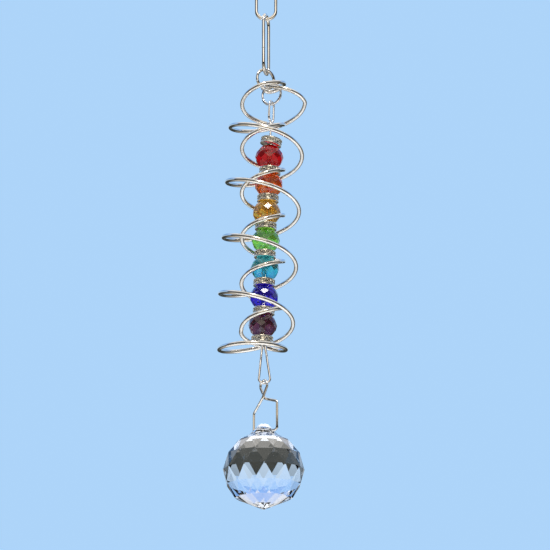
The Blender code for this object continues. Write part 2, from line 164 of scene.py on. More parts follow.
# How far the soft boxes reach to each side, and how soft their ends are.
SOFT_BOX_REACH = 0.34
SOFT_BOX_BLUR = 0.03
# A direction's Y is ahead from the first value up and behind from the second value down.
AHEAD_FROM = 0.16
BEHIND_FROM = 0.06

# %% Room
room = bpy.data.worlds.new("soft_room")
bpy.context.scene.world = room
room.use_nodes = True
room_tree = room.node_tree
room_tree.nodes.clear()
direction = room_tree.nodes.new("ShaderNodeTexCoord").outputs["Generated"]
axes = room_tree.nodes.new("ShaderNodeSeparateXYZ")
room_tree.links.new(direction, axes.inputs[0])
room_height = mapped(room_tree, axes.outputs["Z"], -1.0, 1.0)


def tones_by_height(stops):
    """The colour that the stops give at each height of the room."""
    ramp = ramp_between(room_tree, stops)
    room_tree.links.new(room_height, ramp.inputs["Fac"])
    return ramp.outputs["Color"]


ahead = tones_by_height(AHEAD_TONES)
soft_box = tones_by_height(SOFT_BOX_TONES)
walls = tones_by_height(WALL_TONES)
on_box = within(room_tree, axes.outputs["X"], -SOFT_BOX_REACH, SOFT_BOX_REACH, SOFT_BOX_BLUR)
behind = mixed(room_tree, on_box, walls, soft_box)
facing_back = mapped(room_tree, axes.outputs["Y"], AHEAD_FROM, BEHIND_FROM)
all_round = mixed(room_tree, facing_back, ahead, behind)

shown = room_tree.nodes.new("ShaderNodeBackground")
room_tree.links.new(all_round, shown.inputs["Color"])
backdrop = room_tree.nodes.new("ShaderNodeBackground")
backdrop.inputs["Color"].default_value = (*BACKDROP_TONE, 1)
path = room_tree.nodes.new("ShaderNodeLightPath")
chosen = room_tree.nodes.new("ShaderNodeMixShader")
room_tree.links.new(path.outputs["Is Camera Ray"], chosen.inputs[0])
room_tree.links.new(shown.outputs[0], chosen.inputs[1])
room_tree.links.new(backdrop.outputs[0], chosen.inputs[2])
out = room_tree.nodes.new("ShaderNodeOutputWorld")
room_tree.links.new(chosen.outputs[0], out.inputs[0])
bpy.context.scene.view_settings.view_transform = "Standard"
print("room nodes:", len(room_tree.nodes))

# %% Lamps and floor
FLOOR_Z = -0.50
FLOOR_RADIUS = 0.42
FLOOR_SIDES = 96
FLOOR_TONE = (0.72, 0.73, 0.74)
FLOOR_ROUGHNESS = 0.9
KEY_PLACE = (0.043, -0.54, 0.72)
KEY_TARGET = (0, 0, -0.13)
KEY_SIZE = 0.20
KEY_POWER = 2.6
KEY_TONE = (1.0, 0.97, 0.92)
FILL_PLACES = {"lamp_left": (-0.55, -0.45, 0.10), "lamp_right": (0.55, -0.20, 0.10)}
FILL_SIZE = 0.40
FILL_POWER = 6.0
FILL_TONE = (1.0, 0.98, 0.95)


def soft_lamp(name, place, target, size, power, colour):
    """A square soft lamp that faces its target and isn't seen through glass."""
    bpy.ops.object.light_add(type="AREA", location=place)
    lamp = bpy.context.object
    lamp.name = name
    lamp.data.size = size
    lamp.data.energy = power
    lamp.data.color = colour
    lamp.visible_transmission = False
    lamp.rotation_euler = (Vector(target) - Vector(place)).to_track_quat("-Z", "Y").to_euler()
    return lamp


soft_lamp("lamp_key", KEY_PLACE, KEY_TARGET, KEY_SIZE, KEY_POWER, KEY_TONE)
for name, place in FILL_PLACES.items():
    fill = soft_lamp(name, place, (0, 0, FLOOR_Z), FILL_SIZE, FILL_POWER, FILL_TONE)
    fill.visible_glossy = False

bpy.ops.mesh.primitive_circle_add(
    vertices=FLOOR_SIDES, radius=FLOOR_RADIUS, fill_type="NGON", location=(0, 0, FLOOR_Z)
)
floor = bpy.context.object
floor.name = "pale_floor"
matt = bpy.data.materials.new("pale_floor")
matt.use_nodes = True
matt_shader = matt.node_tree.nodes["Principled BSDF"]
matt_shader.inputs["Base Color"].default_value = (*FLOOR_TONE, 1)
matt_shader.inputs["Roughness"].default_value = FLOOR_ROUGHNESS
floor.data.materials.append(matt)
print("lamps:", 1 + len(FILL_PLACES), "floor at", FLOOR_Z)

# %% [markdown]
# ## Polished steel and bright silver
#
# Polished wire is never perfectly even. Its tone drifts a little over a few millimetres, its
# gloss over a few tenths, and drawing and tumbling leave shallow dents that break up the
# reflections. Three noises on Object coordinates give those three scales, so the finish stays
# on the piece however it is turned.

# %% Noise helpers
SEED_STEPS = (1.0, 0.37, 0.71)
GLOSS_NOISE_RANGE = (0.3, 0.7)
TONE_NOISE_RANGE = (0.35, 0.65)


def noise_at(tree, scale, detail, seed):
    """A noise on Object coordinates, its pattern moved along by the seed."""
    place = tree.nodes.new("ShaderNodeTexCoord")
    moved = tree.nodes.new("ShaderNodeMapping")
    moved.inputs["Location"].default_value = [seed * step for step in SEED_STEPS]
    noise = tree.nodes.new("ShaderNodeTexNoise")
    noise.inputs["Scale"].default_value = scale
    noise.inputs["Detail"].default_value = detail
    tree.links.new(place.outputs["Object"], moved.inputs["Vector"])
    tree.links.new(moved.outputs["Vector"], noise.inputs["Vector"])
    return noise.outputs["Fac"]


def between(tree, value, low, high):
    """The value, in the range of a noise, stretched to run from low to high."""
    spread = tree.nodes.new("ShaderNodeMapRange")
    spread.inputs["From Min"].default_value = GLOSS_NOISE_RANGE[0]
    spread.inputs["From Max"].default_value = GLOSS_NOISE_RANGE[1]
    spread.inputs["To Min"].default_value = low
    spread.inputs["To Max"].default_value = high
    tree.links.new(value, spread.inputs["Value"])
    return spread.outputs["Result"]


def tone_drift(tree, value, light, dark):
    """A tone that drifts with the value, from the light one to the dark one."""
    ramp = ramp_between(tree, list(zip(TONE_NOISE_RANGE, (light, dark))))
    tree.links.new(value, ramp.inputs["Fac"])
    return ramp.outputs["Color"]


def dents(tree, value, strength, depth):
    """Shallow bumps that follow the value."""
    bump = tree.nodes.new("ShaderNodeBump")
    bump.inputs["Strength"].default_value = strength
    bump.inputs["Distance"].default_value = depth
    tree.links.new(value, bump.inputs["Height"])
    return bump.outputs["Normal"]


# %% Metal finish
# Each noise is its scale and its detail.
METAL_TONE_NOISE = (160, 3)
METAL_GLOSS_NOISE = (1400, 4)
METAL_DENT_NOISE = (700, 2)
METAL_DENT_STRENGTH = 0.25
METAL_DENT_DEPTH = 0.00004


def metal(name, light, dark, gloss, seed):
    """A polished metal. light and dark are the two tones and gloss is the roughness range."""
    made = bpy.data.materials.new(name)
    made.use_nodes = True
    tree = made.node_tree
    shader = tree.nodes["Principled BSDF"]
    shader.inputs["Metallic"].default_value = 1.0
    tone = tone_drift(tree, noise_at(tree, *METAL_TONE_NOISE, seed), light, dark)
    tree.links.new(tone, shader.inputs["Base Color"])
    roughness = between(tree, noise_at(tree, *METAL_GLOSS_NOISE, seed + 1), *gloss)
    tree.links.new(roughness, shader.inputs["Roughness"])
    dented = noise_at(tree, *METAL_DENT_NOISE, seed + 2)
    normal = dents(tree, dented, METAL_DENT_STRENGTH, METAL_DENT_DEPTH)
    tree.links.new(normal, shader.inputs["Normal"])
    return made


steel = metal("polished_steel", (0.90, 0.86, 0.79), (0.74, 0.69, 0.61), (0.02, 0.06), 1.0)
silver = metal("bright_silver", (0.93, 0.92, 0.91), (0.84, 0.83, 0.82), (0.05, 0.14), 5.0)
print("metals:", steel.name, silver.name)

# %% [markdown]
# ## Helpers for shaping
#
# Operators act on whatever is selected, and a loaded frame arrives selected. These helpers
# clear the selection, pick faces or corners by their place, and put a finished piece in its
# place with its object left at the origin, unturned, as the solids are.

# %% Selection and placing
MM = 0.001
# A face whose normal's Z is past this is level.
LEVEL = 0.99


def select_only(piece=None):
    """In object mode: selects the piece and nothing else, or nothing at all."""
    if bpy.context.mode != "OBJECT":
        bpy.ops.object.mode_set(mode="OBJECT")
    bpy.ops.object.select_all(action="DESELECT")
    if piece:
        piece.select_set(True)
        bpy.context.view_layer.objects.active = piece


def pick_faces(test):
    """In edit mode: selects only the faces whose centre and normal pass the test."""
    bpy.ops.mesh.select_mode(type="FACE")
    shape = bmesh.from_edit_mesh(bpy.context.object.data)
    for face in shape.faces:
        face.select_set(bool(test(face.calc_center_median(), face.normal)))
    shape.select_flush_mode()
    bmesh.update_edit_mesh(bpy.context.object.data)


def pick_corners(test):
    """In edit mode: selects only the corners whose place passes the test."""
    bpy.ops.mesh.select_mode(type="VERT")
    shape = bmesh.from_edit_mesh(bpy.context.object.data)
    for corner in shape.verts:
        corner.select_set(bool(test(corner.co)))
    shape.select_flush_mode()
    bmesh.update_edit_mesh(bpy.context.object.data)


def apply_bevel(piece, width, segments, angle):
    """Bevels the edges where the surface turns by more than the angle, in degrees."""
    cut = piece.modifiers.new("edge", "BEVEL")
    cut.width = width
    cut.segments = segments
    cut.limit_method = "ANGLE"
    cut.angle_limit = math.radians(angle)
    select_only(piece)
    bpy.ops.object.modifier_apply(modifier=cut.name)


def set_in_place(piece, place):
    """Moves the piece by the matrix and leaves its object at the origin."""
    select_only(piece)
    piece.matrix_world = place
    bpy.ops.object.transform_apply(location=True, rotation=True, scale=True)


def finish_piece(piece, name, finish, slot, *nodes):
    """Names a piece, gives it its finish and lets it stand for its solids."""
    piece.name = name
    piece.data.name = name
    piece.data.materials.clear()
    piece.data.materials.append(finish)
    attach(piece, "root")
    if nodes:
        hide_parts(*nodes)
    print(name, len(piece.data.polygons), "faces")
    return piece


def middle_of(node):
    """The middle of the box round a solid."""
    low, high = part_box(node)
    return (low + high) / 2


# %% [markdown]
# ## Chain links
#
# Each link is a round wire bent to a long oval and closed with a butt joint that shows as a
# fine dark line. A torus already has the round wire and the round ends. Its upper and lower
# halves are pulled apart in edit mode, which leaves two straight sides, and the joint is cut
# into one side with three bisects whose middle ring is drawn in.

# %% A wire loop and its joint
WIRE_SIDES = 20
JOINT_REACH_WIRES = 1.6
JOINT_WIDTH_WIRES = 0.9
SMOOTH_LOOP = math.radians(25)


def torus_piece(radius, wire, segments):
    """A ring of round wire, standing upright with its axis along Y."""
    select_only()
    bpy.ops.mesh.primitive_torus_add(
        major_radius=radius,
        minor_radius=wire / 2,
        major_segments=segments,
        minor_segments=WIRE_SIDES,
        rotation=(math.pi / 2, 0, 0),
    )
    bpy.ops.object.transform_apply(rotation=True)
    return bpy.context.object


def cut_joint(piece, centre, along, wire, half_gap, draw_in):
    """A butt joint round the wire at the centre, as a groove across its run."""
    centre, along = Vector(centre), Vector(along).normalized()
    select_only(piece)
    bpy.ops.object.mode_set(mode="EDIT")
    for shift in (-half_gap, 0, half_gap):
        pick_faces(lambda middle, normal: (middle - centre).length < JOINT_REACH_WIRES * wire)
        bpy.ops.mesh.bisect(plane_co=centre + along * shift, plane_no=along)
    pick_corners(
        lambda place: abs((place - centre).dot(along)) < half_gap / 10
        and (place - centre).length < JOINT_WIDTH_WIRES * wire
    )
    bpy.ops.transform.resize(value=(draw_in, draw_in, draw_in), center_override=centre)
    bpy.ops.object.mode_set(mode="OBJECT")


# %% Two links
LINK_LENGTH = 25.2 * MM
LINK_WIDTH = 8.9 * MM
LINK_WIRE = 1.4 * MM
LINK_TURN = math.radians(75)
LINK_JOINTS = (-6.1 * MM, -2.8 * MM)
LINK_JOINT_GAP = 0.12 * MM
LINK_JOINT_DRAW = 0.72
LINK_SEGMENTS = 64
LINK_MIDDLE = 0.01 * MM

end_radius = (LINK_WIDTH - LINK_WIRE) / 2
stretch = (LINK_LENGTH - LINK_WIDTH) / 2
for node, angle, joint in (
    ("chain_link_top", 0, LINK_JOINTS[0]),
    ("chain_link_lower", LINK_TURN, LINK_JOINTS[1]),
):
    link = torus_piece(end_radius, LINK_WIRE, LINK_SEGMENTS)
    bpy.ops.object.mode_set(mode="EDIT")
    for side in (1, -1):
        pick_corners(lambda place: place.z * side > LINK_MIDDLE)
        bpy.ops.transform.translate(value=(0, 0, side * stretch))
    bpy.ops.object.mode_set(mode="OBJECT")
    joint_place = (-end_radius, 0, joint)
    cut_joint(link, joint_place, (0, 0, 1), LINK_WIRE, LINK_JOINT_GAP, LINK_JOINT_DRAW)
    bpy.ops.object.shade_smooth_by_angle(angle=SMOOTH_LOOP)
    place = Matrix.Translation(middle_of(node)) @ Matrix.Rotation(angle, 4, "Z")
    set_in_place(link, place)
    finish_piece(link, "polished_" + node, steel, "polished_steel", node)

# %% [markdown]
# ## Steel ring and silver jump ring
#
# Two small rings hang one in the other. They are plain round wire with a butt joint, so they
# start as a torus too. The joint of the steel ring lies on its left, a little below the
# middle, and the one of the jump ring on its right, a little above it.

# %% Two rings
RING_RADIUS = 3.8 * MM
RING_WIRE = 1.2 * MM
RING_TURN = math.radians(33)
JUMP_RADIUS = 4.1 * MM
JUMP_WIRE = 1.0 * MM
JUMP_TURN = math.radians(-31)
JUMP_SHIFT = 2.18 * MM
RING_JOINT_AT = math.radians(200)
JUMP_JOINT_AT = math.radians(25)
RING_JOINT_GAP = 0.10 * MM
RING_JOINT_DRAW = 0.7
RING_SEGMENTS = 72

for node, radius, wire, angle, spot, finish, slot in (
    ("steel_ring", RING_RADIUS, RING_WIRE, RING_TURN, RING_JOINT_AT, steel, "polished_steel"),
    ("jump_ring", JUMP_RADIUS, JUMP_WIRE, JUMP_TURN, JUMP_JOINT_AT, silver, "silver_wire"),
):
    ring = torus_piece(radius, wire, RING_SEGMENTS)
    across = Vector((math.cos(spot), 0, math.sin(spot)))
    run = Vector((-math.sin(spot), 0, math.cos(spot)))
    cut_joint(ring, across * radius, run, wire, RING_JOINT_GAP, RING_JOINT_DRAW)
    bpy.ops.object.shade_smooth_by_angle(angle=SMOOTH_LOOP)
    place = Matrix.Translation(middle_of(node)) @ Matrix.Rotation(angle, 4, "Z")
    set_in_place(ring, place)
    finish_piece(ring, "polished_" + node, finish, slot, node)

# %% [markdown]
# ## Spiral
#
# One endless wire runs down in wide turns, round a flat turn at the bottom, back up inside in
# narrow turns, and closes through a small eye that hangs in the steel ring. No primitive has
# that path, so it is a curve through points worked out turn by turn, with a round bevel, made
# a mesh at the end. Each turn has a centre, a radius, a height and a tilt, and where one kind
# of turn passes into another these values are eased.

# %% A wire along points
MERGE_WITHIN = 0.001 * MM
SMOOTH_WIRE = math.radians(40)


def wire_along(points, width, closed, rounding):
    """A round wire through the points, as a mesh with merged ends."""
    select_only()
    line = bpy.data.curves.new("wire", "CURVE")
    line.dimensions = "3D"
    line.fill_mode = "FULL"
    line.use_fill_caps = not closed
    line.bevel_depth = width / 2
    line.bevel_resolution = rounding
    run = line.splines.new("POLY")
    run.points.add(len(points) - 1)
    for knot, point in zip(run.points, points):
        knot.co = (*point, 1)
    run.use_cyclic_u = closed
    run.use_smooth = True
    piece = bpy.data.objects.new("wire", line)
    bpy.context.scene.collection.objects.link(piece)
    select_only(piece)
    bpy.ops.object.convert(target="MESH")
    piece = bpy.context.object
    bpy.ops.object.mode_set(mode="EDIT")
    bpy.ops.mesh.select_all(action="SELECT")
    bpy.ops.mesh.remove_doubles(threshold=MERGE_WITHIN)
    bpy.ops.mesh.normals_make_consistent(inside=False)
    bpy.ops.object.mode_set(mode="OBJECT")
    bpy.ops.object.shade_smooth_by_angle(angle=SMOOTH_WIRE)
    return piece


# %% The turns of the spiral
HANG_GAP = 0.2 * MM
SPIRAL_WIRE = 1.6 * MM
SPIRAL_ROUNDING = 6
SPIRAL_STEP = 4
KEY_STEP = 30
FOOT_SWEEP = 540
EYE_SWEEP = 450
OUTER = {"radius": 14.0 * MM, "pitch": 21.87 * MM, "turns": 4, "drop": 7.23 * MM}
OUTER_AXIS_X = -1.96 * MM
OUTER_LEAN = 0.054
OUTER_TILT = (-0.35 * MM, -1.1 * MM)
INNER = {"radius": 7.93 * MM, "pitch": 17.9 * MM, "turns": 5.25, "drop": 97.7 * MM}
INNER_AXIS = (-1.2 * MM, -0.19 * MM)
INNER_TILT = -0.62 * MM
INNER_TILT_GROWTH = 0.008
LEAN_CENTRE_DROP = 60.6 * MM
# Turns at the foot and the eye: centre X and Y, radius, rise above the eye's rest, tilt.
FOOT_LEFT = (-3.76 * MM, 0.0, 13.62 * MM, -105.09 * MM, -0.17 * MM)
FOOT_RIGHT = (-3.44 * MM, 0.46 * MM, 10.96 * MM, -103.4 * MM, -1.55 * MM)
EYE_LEFT = -1.1 * MM
EYE_REST_RADIUS = 4.65 * MM
EYE_RIGHT = (1.34 * MM, -0.3 * MM, 5.69 * MM, -0.34 * MM, 0.0)
EYE_BACK = (1.13 * MM, 0.95 * MM, 5.7 * MM, -1.06 * MM, 0.0)
EYE_REST = (EYE_LEFT + EYE_REST_RADIUS, 0.0, EYE_REST_RADIUS, 0.0, 0.0)
EYE_FRONT = (2.04 * MM, 2.76 * MM, 5.77 * MM, -2.26 * MM, 0.0)

ring_middle = middle_of("steel_ring")
eye_reach = RING_RADIUS - RING_WIRE / 2 - HANG_GAP - SPIRAL_WIRE / 2 / math.cos(RING_TURN)
eye_beside = (EYE_LEFT - ring_middle.x) / math.cos(RING_TURN)
eye_z = ring_middle.z - math.sqrt(eye_reach**2 - eye_beside**2)
lean_centre_z = eye_z - LEAN_CENTRE_DROP


def turn(centre_x, centre_y, radius, height, tilt_x=0, tilt_y=0):
    """The six values of a turn, as one vector that can be eased."""
    return Vector((centre_x, centre_y, radius, height, tilt_x, tilt_y))


def turn_point(values, angle):
    """The place on a turn at an angle in degrees."""
    centre_x, centre_y, radius, height, tilt_x, tilt_y = values
    across, along = math.cos(math.radians(angle)), math.sin(math.radians(angle))
    z = height + tilt_x * across + tilt_y * along
    return Vector((centre_x + radius * across, centre_y + radius * along, z))


def outer_turn(angle):
    """The wide turn at an angle counted down from the top."""
    height = eye_z - OUTER["drop"] - OUTER["pitch"] * angle / 360
    centre_x = OUTER_AXIS_X + OUTER_LEAN * (height - lean_centre_z)
    return turn(centre_x, 0, OUTER["radius"], height, *OUTER_TILT)


def inner_turn(angle):
    """The narrow turn at an angle counted up from the bottom."""
    height = eye_z - INNER["drop"] + INNER["pitch"] * angle / 360
    tilt_x = INNER_TILT_GROWTH * (height - lean_centre_z)
    return turn(*INNER_AXIS, INNER["radius"], height, tilt_x, INNER_TILT)


def key_turn(centre_x, centre_y, radius, rise, tilt_x):
    """A turn of its own, at a rise above the place where the eye rests."""
    return turn(centre_x, centre_y, radius, eye_z + rise, tilt_x, 0)


def eased(keys, angle):
    """The turn at an angle, on a smooth curve through keys of (angle, turn)."""
    spot = max(i for i in range(1, len(keys) - 2) if keys[i][0] <= angle or i == 1)
    (a0, k0), (a1, k1), (a2, k2), (a3, k3) = keys[spot - 1 : spot + 3]
    span = a2 - a1
    share = (angle - a1) / span
    slope1 = (k2 - k0) / (a2 - a0) * span
    slope2 = (k3 - k1) / (a3 - a1) * span
    square = share * share
    cube = square * share
    return (
        k1 * (2 * cube - 3 * square + 1)
        + slope1 * (cube - 2 * square + share)
        + k2 * (3 * square - 2 * cube)
        + slope2 * (cube - square)
    )


# %% Spiral piece
outer_end = 360 * OUTER["turns"]
inner_start = outer_end + FOOT_SWEEP
inner_end = inner_start + int(360 * INNER["turns"])
inner_span = inner_end - inner_start
close = inner_end + EYE_SWEEP
foot_keys = [
    (outer_end - KEY_STEP, outer_turn(outer_end - KEY_STEP)),
    (outer_end, outer_turn(outer_end)),
    (outer_end + 180, key_turn(*FOOT_LEFT)),
    (outer_end + 360, key_turn(*FOOT_RIGHT)),
    (inner_start, inner_turn(0)),
    (inner_start + KEY_STEP, inner_turn(KEY_STEP)),
]
eye_keys = [
    (inner_end - KEY_STEP, inner_turn(inner_span - KEY_STEP)),
    (inner_end, inner_turn(inner_span)),
    (inner_end + 90, key_turn(*EYE_RIGHT)),
    (inner_end + 180, key_turn(*EYE_BACK)),
    (inner_end + 270, key_turn(*EYE_REST)),
    (inner_end + 360, key_turn(*EYE_FRONT)),
    (close, outer_turn(0)),
    (close + KEY_STEP, outer_turn(KEY_STEP)),
]
spiral_points = []
for angle in range(0, close, SPIRAL_STEP):
    if angle < outer_end:
        values = outer_turn(angle)
    elif angle < inner_start:
        values = eased(foot_keys, angle)
    elif angle < inner_end:
        values = inner_turn(angle - inner_start)
    else:
        values = eased(eye_keys, angle)
    spiral_points.append(turn_point(values, angle))
spiral = wire_along(spiral_points, SPIRAL_WIRE, True, SPIRAL_ROUNDING)
finish_piece(spiral, "polished_spiral", steel, "polished_steel", "spiral")

# %% [markdown]
# ## Wire of the bead string
#
# One thinner silver wire carries the beads. It makes a long loop above them, closed by its
# own end wound round the stem, and an open drop loop below. The path is drawn flat, as arcs
# and rounded corners, and the top loop is then turned to face half sideways.

# %% Arcs and rounded corners
# A rounded corner takes at most this share of its shorter side.
MOST_OF_A_SIDE = 0.45


def arc(centre, radius, start, end, steps):
    """Points on an arc in the XZ plane, angles counted from +X towards +Z."""
    points = []
    for index in range(steps + 1):
        angle = start + (end - start) * index / steps
        offset = Vector((math.cos(angle), 0, math.sin(angle))) * radius
        points.append(Vector(centre) + offset)
    return points


def bent(corners, bend, steps=8):
    """A line through the corners with every corner rounded to the bend radius."""
    points = [Vector(corners[0])]
    for before, corner, after in zip(corners, corners[1:], corners[2:]):
        corner = Vector(corner)
        back = Vector(before) - corner
        onward = Vector(after) - corner
        half = back.angle(onward) / 2
        longest = MOST_OF_A_SIDE * min(back.length, onward.length)
        reach = min(bend / math.tan(half), longest)
        back.normalize()
        onward.normalize()
        middle = corner + (back + onward).normalized() * reach / math.cos(half)
        first = corner + back * reach - middle
        last = corner + onward * reach - middle
        for index in range(steps + 1):
            points.append(middle + first.slerp(last, index / steps) * first.length)
    points.append(Vector(corners[-1]))
    return points


# %% Stack of the bead string
STRING_LEAN = math.radians(2.1)
STRING_WIRE = 0.9 * MM
SEAT_GAP = 0.2 * MM
BEAD_HEIGHT = 8.1 * MM
SPACER_HEIGHT = 2.5 * MM
STACK_DROP = 15.15 * MM
BEAD_NAMES = ("red", "orange", "amber", "green", "aqua", "blue", "plum")

string_top = middle_of("jump_ring").z - JUMP_RADIUS + JUMP_WIRE / 2
string_frame = Matrix.Translation((JUMP_SHIFT, 0, string_top)) @ Matrix.Rotation(
    STRING_LEAN, 4, "Y"
)


def stack_height(index, is_bead):
    """The height on the string of a bead's or a spacer's middle, counted from the top."""
    pitch = BEAD_HEIGHT + SPACER_HEIGHT + 2 * SEAT_GAP
    first = -STACK_DROP - SPACER_HEIGHT / 2
    if is_bead:
        first -= (SPACER_HEIGHT + BEAD_HEIGHT) / 2 + SEAT_GAP
    return first - pitch * index


print("top of the string:", round(string_top / MM, 2), "mm")

# %% String wire piece
TOP_LOOP_WIDTH = 4.3 * MM
TOP_LOOP_HEIGHT = 8.6 * MM
TOP_LOOP_TURN = math.radians(60)
TOP_LOOP_SHOULDER = 1.4 * MM
TOP_LOOP_NECK = 0.5 * MM
STRING_BEND = 1.8 * MM
WRAP_TURNS = 1.5
WRAP_PITCH = 1.15 * MM
WRAP_STEPS = 24
DROP_LOOP_WIDTH = 5.0 * MM
DROP_LOOP_HEIGHT = 14.6 * MM
DROP_LOOP_SHIFT = 1.3 * MM
DROP_NECK = 1.2 * MM
FINE_ROUNDING = 4
LOOP_STEPS = 24
DROP_LOOP_STEPS = 36

loop_radius = (TOP_LOOP_WIDTH - STRING_WIRE) / 2
loop_top = HANG_GAP + STRING_WIRE / 2
loop_base = loop_top - TOP_LOOP_HEIGHT
wrap_radius = STRING_WIRE + HANG_GAP
wrap = []
for index in range(int(WRAP_STEPS * WRAP_TURNS), 0, -1):
    angle = 2 * math.pi * index / WRAP_STEPS
    drop = WRAP_PITCH * index / WRAP_STEPS
    wrap.append(Vector((
        math.cos(angle) * wrap_radius, math.sin(angle) * wrap_radius, loop_base - drop
    )))
crown = arc((0, 0, loop_top - loop_radius), loop_radius, 0, math.pi, LOOP_STEPS)
shoulder = loop_base + TOP_LOOP_SHOULDER
sides = bent(
    [(wrap_radius, 0, loop_base), (loop_radius, 0, shoulder), crown[0]], STRING_BEND
)
down = bent(
    [
        crown[-1],
        (-loop_radius, 0, shoulder),
        (0, 0, loop_base + TOP_LOOP_NECK),
        (0, 0, -STACK_DROP),
    ],
    STRING_BEND,
)
spin = Matrix.Rotation(TOP_LOOP_TURN, 3, "Z")
top_loop = [spin @ point for point in wrap + sides[:-1] + crown[:-1] + down]

drop_radius = (DROP_LOOP_WIDTH - STRING_WIRE) / 2
apex = stack_height(len(BEAD_NAMES), False) - SPACER_HEIGHT / 2 - DROP_NECK
foot = Vector((DROP_LOOP_SHIFT, 0, apex - DROP_LOOP_HEIGHT + drop_radius + STRING_WIRE / 2))
swing = math.asin(drop_radius / math.hypot(foot.x, apex - foot.z))
bow = arc(foot, drop_radius, math.pi - swing, 2 * math.pi + swing, DROP_LOOP_STEPS)
tail = [Vector((STRING_WIRE + HANG_GAP, 0, apex))]
drop_loop = bent([(0, 0, apex + DROP_NECK), (0, 0, apex), bow[0]], STRING_BEND)
drop_loop = drop_loop[:-1] + bow + tail
string_wire = wire_along(top_loop + drop_loop, STRING_WIRE, False, FINE_ROUNDING)
set_in_place(string_wire, string_frame)
finish_piece(string_wire, "bright_string_wire", silver, "silver_wire", "string_wire")

# %% [markdown]
# ## Cut glass
#
# Coloured glass takes its colour from its depth, and a plain colour on a see-through shader
# does that well enough: light is tinted as it goes in and as it comes out. The melt is never
# quite even, so the tint drifts across the bead, and the polish has faint ripples. The
# see-through weight and the index stay plain numbers on the shader.

# %% Glass finish
GLASS_INDEX = 1.53
GLASS_TONE_NOISE = (260, 2)
GLASS_GLOSS_NOISE = (900, 3)
GLASS_GLOSS = (0.0, 0.03)
GLASS_RIPPLE_NOISE = (420, 1)
GLASS_RIPPLE_DEPTH = 0.00005
BEAD_RIPPLE = 0.05
CLEAR_RIPPLE = 0.02
BEAD_CLEARNESS = 0.9


def glass(name, light, deep, seed, ripple, clearness=1.0):
    """A glass. light and deep are its two tones, and ripple is how strong its ripples are."""
    made = bpy.data.materials.new(name)
    made.use_nodes = True
    tree = made.node_tree
    shader = tree.nodes["Principled BSDF"]
    shader.inputs["Transmission Weight"].default_value = clearness
    shader.inputs["IOR"].default_value = GLASS_INDEX
    tone = tone_drift(tree, noise_at(tree, *GLASS_TONE_NOISE, seed), light, deep)
    tree.links.new(tone, shader.inputs["Base Color"])
    roughness = between(tree, noise_at(tree, *GLASS_GLOSS_NOISE, seed + 1), *GLASS_GLOSS)
    tree.links.new(roughness, shader.inputs["Roughness"])
    rippled = noise_at(tree, *GLASS_RIPPLE_NOISE, seed + 2)
    normal = dents(tree, rippled, ripple, GLASS_RIPPLE_DEPTH)
    tree.links.new(normal, shader.inputs["Normal"])
    return made


# %% Glasses
# The light and the deep tone of each bead.
GLASS_TONES = {
    "red": ((0.86, 0.006, 0.010), (0.60, 0.002, 0.006)),
    "orange": ((1.00, 0.20, 0.015), (0.96, 0.10, 0.004)),
    "amber": ((0.95, 0.57, 0.10), (0.80, 0.40, 0.045)),
    "green": ((0.38, 0.84, 0.08), (0.18, 0.70, 0.13)),
    "aqua": ((0.11, 0.66, 0.70), (0.04, 0.52, 0.62)),
    "blue": ((0.07, 0.035, 0.80), (0.025, 0.010, 0.52)),
    "plum": ((0.20, 0.045, 0.07), (0.10, 0.016, 0.065)),
}
bead_glass = {
    name: glass("glass_" + name, light, deep, 11.0 + index, BEAD_RIPPLE, BEAD_CLEARNESS)
    for index, (name, (light, deep)) in enumerate(GLASS_TONES.items())
}
clear = glass("clear_crystal", (0.98, 0.99, 1.0), (0.94, 0.96, 0.98), 31.0, CLEAR_RIPPLE)
print("glasses:", len(bead_glass) + 1)

# %% [markdown]
# ## Beads
#
# Each bead is cut with rows of kites above and below the girdle. All the corners lie on
# circles, so the circles are added first and a convex hull closes the facets over them. The
# two flat ends are inset to the bore and bridged through, and a very fine bevel breaks the
# edges, which is what makes a cut edge flash.

# %% One bead, then seven
BEAD_RADIUS = 5.4 * MM
BEAD_SIDES = 10
BEAD_SHOULDER = 0.945
BEAD_BORE = 1.6 * MM
BEAD_ROWS = (0.35, 0.68)
BEAD_TURN = math.radians(11)
# How far each bead sits to one side on its wire, in millimetres.
BEAD_PLAY = (-0.1, 0.1, -0.25, -0.25, -0.15, 0.0, -0.1)
BEAD_EDGE = 0.05 * MM
FACET_EDGE_ANGLE = 4
FLAT_WITHIN = math.radians(0.6)


def bead_profile():
    """Corner rings from the girdle up, so spaced that each kite is flat."""
    half = BEAD_HEIGHT / 2
    heights = [0, half * BEAD_ROWS[0], half * BEAD_ROWS[1], half]
    radii = [BEAD_RADIUS, BEAD_RADIUS * BEAD_SHOULDER]
    inset = math.cos(math.pi / BEAD_SIDES)
    for index in (2, 3):
        first, second = radii[index - 2], radii[index - 1] * inset
        lower, upper = heights[index - 2], heights[index - 1]
        radii.append(first + (second - first) * (heights[index] - lower) / (upper - lower))
    return list(zip(radii, heights))


def circle_of_corners(radius, height, sides, half_steps):
    """A level circle of corners, turned by half steps from one corner to the next."""
    bpy.ops.mesh.primitive_circle_add(
        vertices=sides,
        radius=radius,
        location=(0, 0, height),
        rotation=(0, 0, math.pi * half_steps / sides - math.pi / 2),
    )


def hull_of_rings(rings, sides):
    """A closed faceted body over rings of corners, each (radius, height, half steps)."""
    select_only()
    circle_of_corners(rings[0][0], rings[0][1], sides, rings[0][2])
    bpy.ops.object.transform_apply(location=True, rotation=True)
    piece = bpy.context.object
    bpy.ops.object.mode_set(mode="EDIT")
    for radius, height, half_steps in rings[1:]:
        circle_of_corners(radius, height, sides, half_steps)
    bpy.ops.mesh.select_all(action="SELECT")
    bpy.ops.mesh.convex_hull(join_triangles=False)
    bpy.ops.mesh.select_all(action="SELECT")
    bpy.ops.mesh.dissolve_limited(angle_limit=FLAT_WITHIN)
    bpy.ops.object.mode_set(mode="OBJECT")
    return piece


